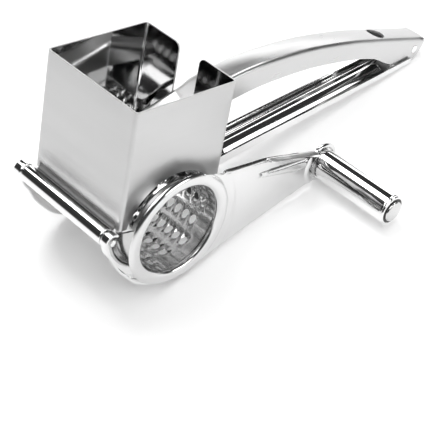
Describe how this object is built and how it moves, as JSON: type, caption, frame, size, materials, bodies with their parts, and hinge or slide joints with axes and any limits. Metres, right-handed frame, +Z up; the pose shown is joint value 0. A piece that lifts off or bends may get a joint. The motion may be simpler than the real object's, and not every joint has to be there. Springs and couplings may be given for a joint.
{
  "type": "rotary cheese grater",
  "caption": "Hand-cranked grater: square hopper over a perforated drum, curved press lever hinged to a channel handle, crank plate with a turning knob.",
  "frame": {"origin": "on the surface the tool lies on, under the middle of its overall box", "axes": "+X from the hopper's hinge towards the hinge of the two handles, +Y along the drum axis away from the crank, +Z up"},
  "size_m": [0.2194, 0.1078, 0.0944],
  "materials": {
    "polished_steel": "mirror polished stainless steel",
    "brushed_hopper": "satin brushed stainless steel sheet",
    "satin_lever": "fine satin stainless steel",
    "drum_steel": "bright stainless steel sheet",
    "crank_steel": "soft polished stainless steel",
    "dark_plastic": "dark matt bearing plastic"
  },
  "bodies": {
    "frame": {"lower_handle": "polished_steel", "cradle_near": "polished_steel", "cradle_far": "polished_steel", "nose_pin": "polished_steel", "pivot_bracket": "polished_steel"},
    "hopper": {"hopper_shell": "brushed_hopper", "hinge_barrel": "polished_steel", "hinge_leaf": "brushed_hopper"},
    "lever": {"press_lever": "satin_lever", "lever_pin": "polished_steel", "press_plate": "satin_lever", "press_foot": "satin_lever", "press_rivet_front": "polished_steel", "press_rivet_rear": "polished_steel"},
    "drum": {"grating_drum": "drum_steel", "drum_rim_bead": "drum_steel", "crank_plate": "crank_steel", "knob_axle": "polished_steel", "knob_washer": "dark_plastic"},
    "knob": {"knob_sleeve": "polished_steel", "knob_bush_inner": "dark_plastic", "knob_bush_outer": "dark_plastic"}
  },
  "joints": [
    {"name": "hopper_swing", "type": "hinge", "parent": "frame", "child": "hopper", "pos_m": [-0.10588, 0.0231, 0.04132], "axis": [0, -1, 0], "range_deg": [0, 100]},
    {"name": "lever_press", "type": "hinge", "parent": "frame", "child": "lever", "pos_m": [0.10201, 0.0231, 0.00709], "axis": [0, 1, 0], "range_deg": [0, 80]},
    {"name": "drum_spin", "type": "hinge", "parent": "frame", "child": "drum", "pos_m": [-0.07514, 0.0231, 0.029], "axis": [0, 1, 0], "continuous": true},
    {"name": "knob_spin", "type": "hinge", "parent": "drum", "child": "knob", "pos_m": [0.009, -0.0527, 0.01025], "axis": [0, 1, 0], "continuous": true}
  ]
}
